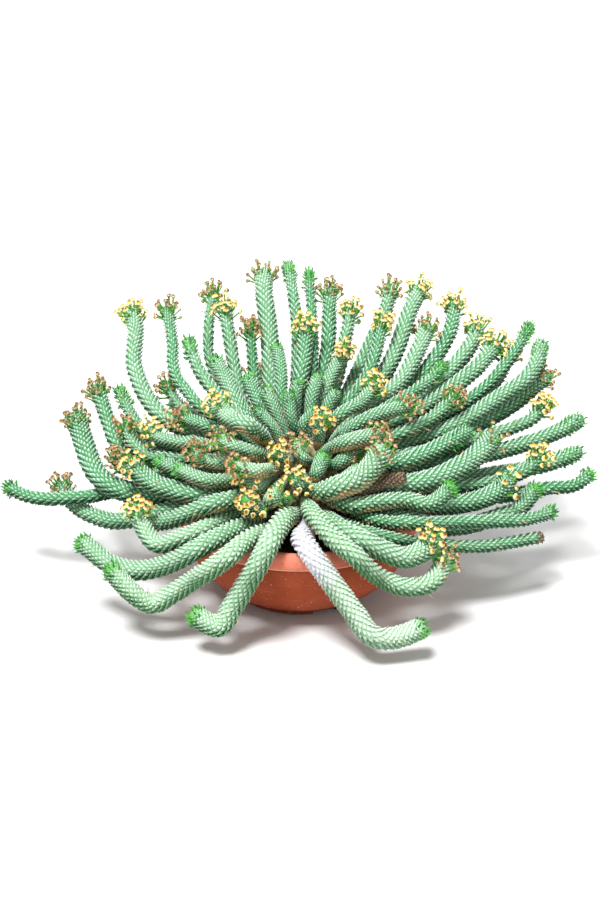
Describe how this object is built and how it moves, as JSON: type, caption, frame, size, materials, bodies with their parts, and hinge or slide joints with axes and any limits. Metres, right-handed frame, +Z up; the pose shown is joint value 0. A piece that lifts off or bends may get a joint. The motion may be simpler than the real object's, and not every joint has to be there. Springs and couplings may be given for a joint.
{
  "type": "potted medusa head euphorbia",
  "caption": "Medusa head succulent with scaly arms that spread and curl from a woody crown, in a shallow round terracotta bowl filled with dark soil.",
  "frame": {"origin": "the bowl's axis at the face that it stands on", "axes": "+Z up along the bowl's axis, -Y towards the side where the low arms droop over the rim, +X to that viewer's right"},
  "size_m": [0.7402, 0.462, 0.3388],
  "materials": {
    "terracotta": "matte",
    "soil": "matte",
    "bark": "matte",
    "skin": "matte",
    "skin_powdery": "matte",
    "skin_bright": "matte",
    "bloom": "matte",
    "dried": "matte"
  },
  "bodies": {
    "root": {"arm_back_bloom_a": "skin", "arm_back_bloom_b": "skin", "arm_back_crest": "skin", "arm_back_left_bent": "skin_bright", "arm_back_left_bloom_a": "skin", "arm_back_left_bloom_b": "skin", "arm_back_left_far": "skin", "arm_back_left_finger": "skin", "arm_back_mid_bloom": "skin", "arm_back_tall": "skin_bright", "arm_back_tallest": "skin_bright", "arm_back_thin": "skin", "arm_front_left_bloom": "skin", "arm_front_left_elbow": "skin", "arm_front_left_long": "skin", "arm_front_left_low": "skin", "arm_front_pale": "skin_powdery", "arm_front_right_big": "skin", "arm_front_right_bloom": "skin", "arm_front_right_leafy": "skin", "arm_front_right_star": "skin", "arm_front_right_stub": "skin", "arm_left_dark": "skin", "arm_left_hooked": "skin", "arm_left_low": "skin", "arm_left_mid": "skin", "arm_left_pale": "skin", "arm_left_plain": "skin_bright", "arm_left_second": "skin", "arm_left_tall": "skin", "arm_left_thick": "skin", "arm_left_upper": "skin", "arm_right_back_bloom_a": "skin", "arm_right_back_brown": "skin", "arm_right_back_high": "skin", "arm_right_back_leafy": "skin", "arm_right_back_tall": "skin", "arm_right_back_wide": "skin", "arm_right_big_posy": "skin", "arm_right_bloom": "skin", "arm_right_brown_mid": "skin", "arm_right_crest_high": "skin", "arm_right_crest_low": "skin", "arm_right_cut": "skin", "arm_right_far_bloom_a": "skin", "arm_right_far_bloom_b": "skin", "arm_right_far_crest": "skin", "arm_right_far_tip": "skin_bright", "arm_right_green_bloom": "skin_bright", "arm_right_head": "skin", "arm_right_low": "skin", "arm_right_low_star": "skin", "arm_right_posy": "skin", "arm_right_short_yellow": "skin", "arm_right_star": "skin", "arm_right_yellow_shaft": "skin", "bowl": "terracotta", "soil": "soil", "stem": "bark"}
  },
  "joints": []
}
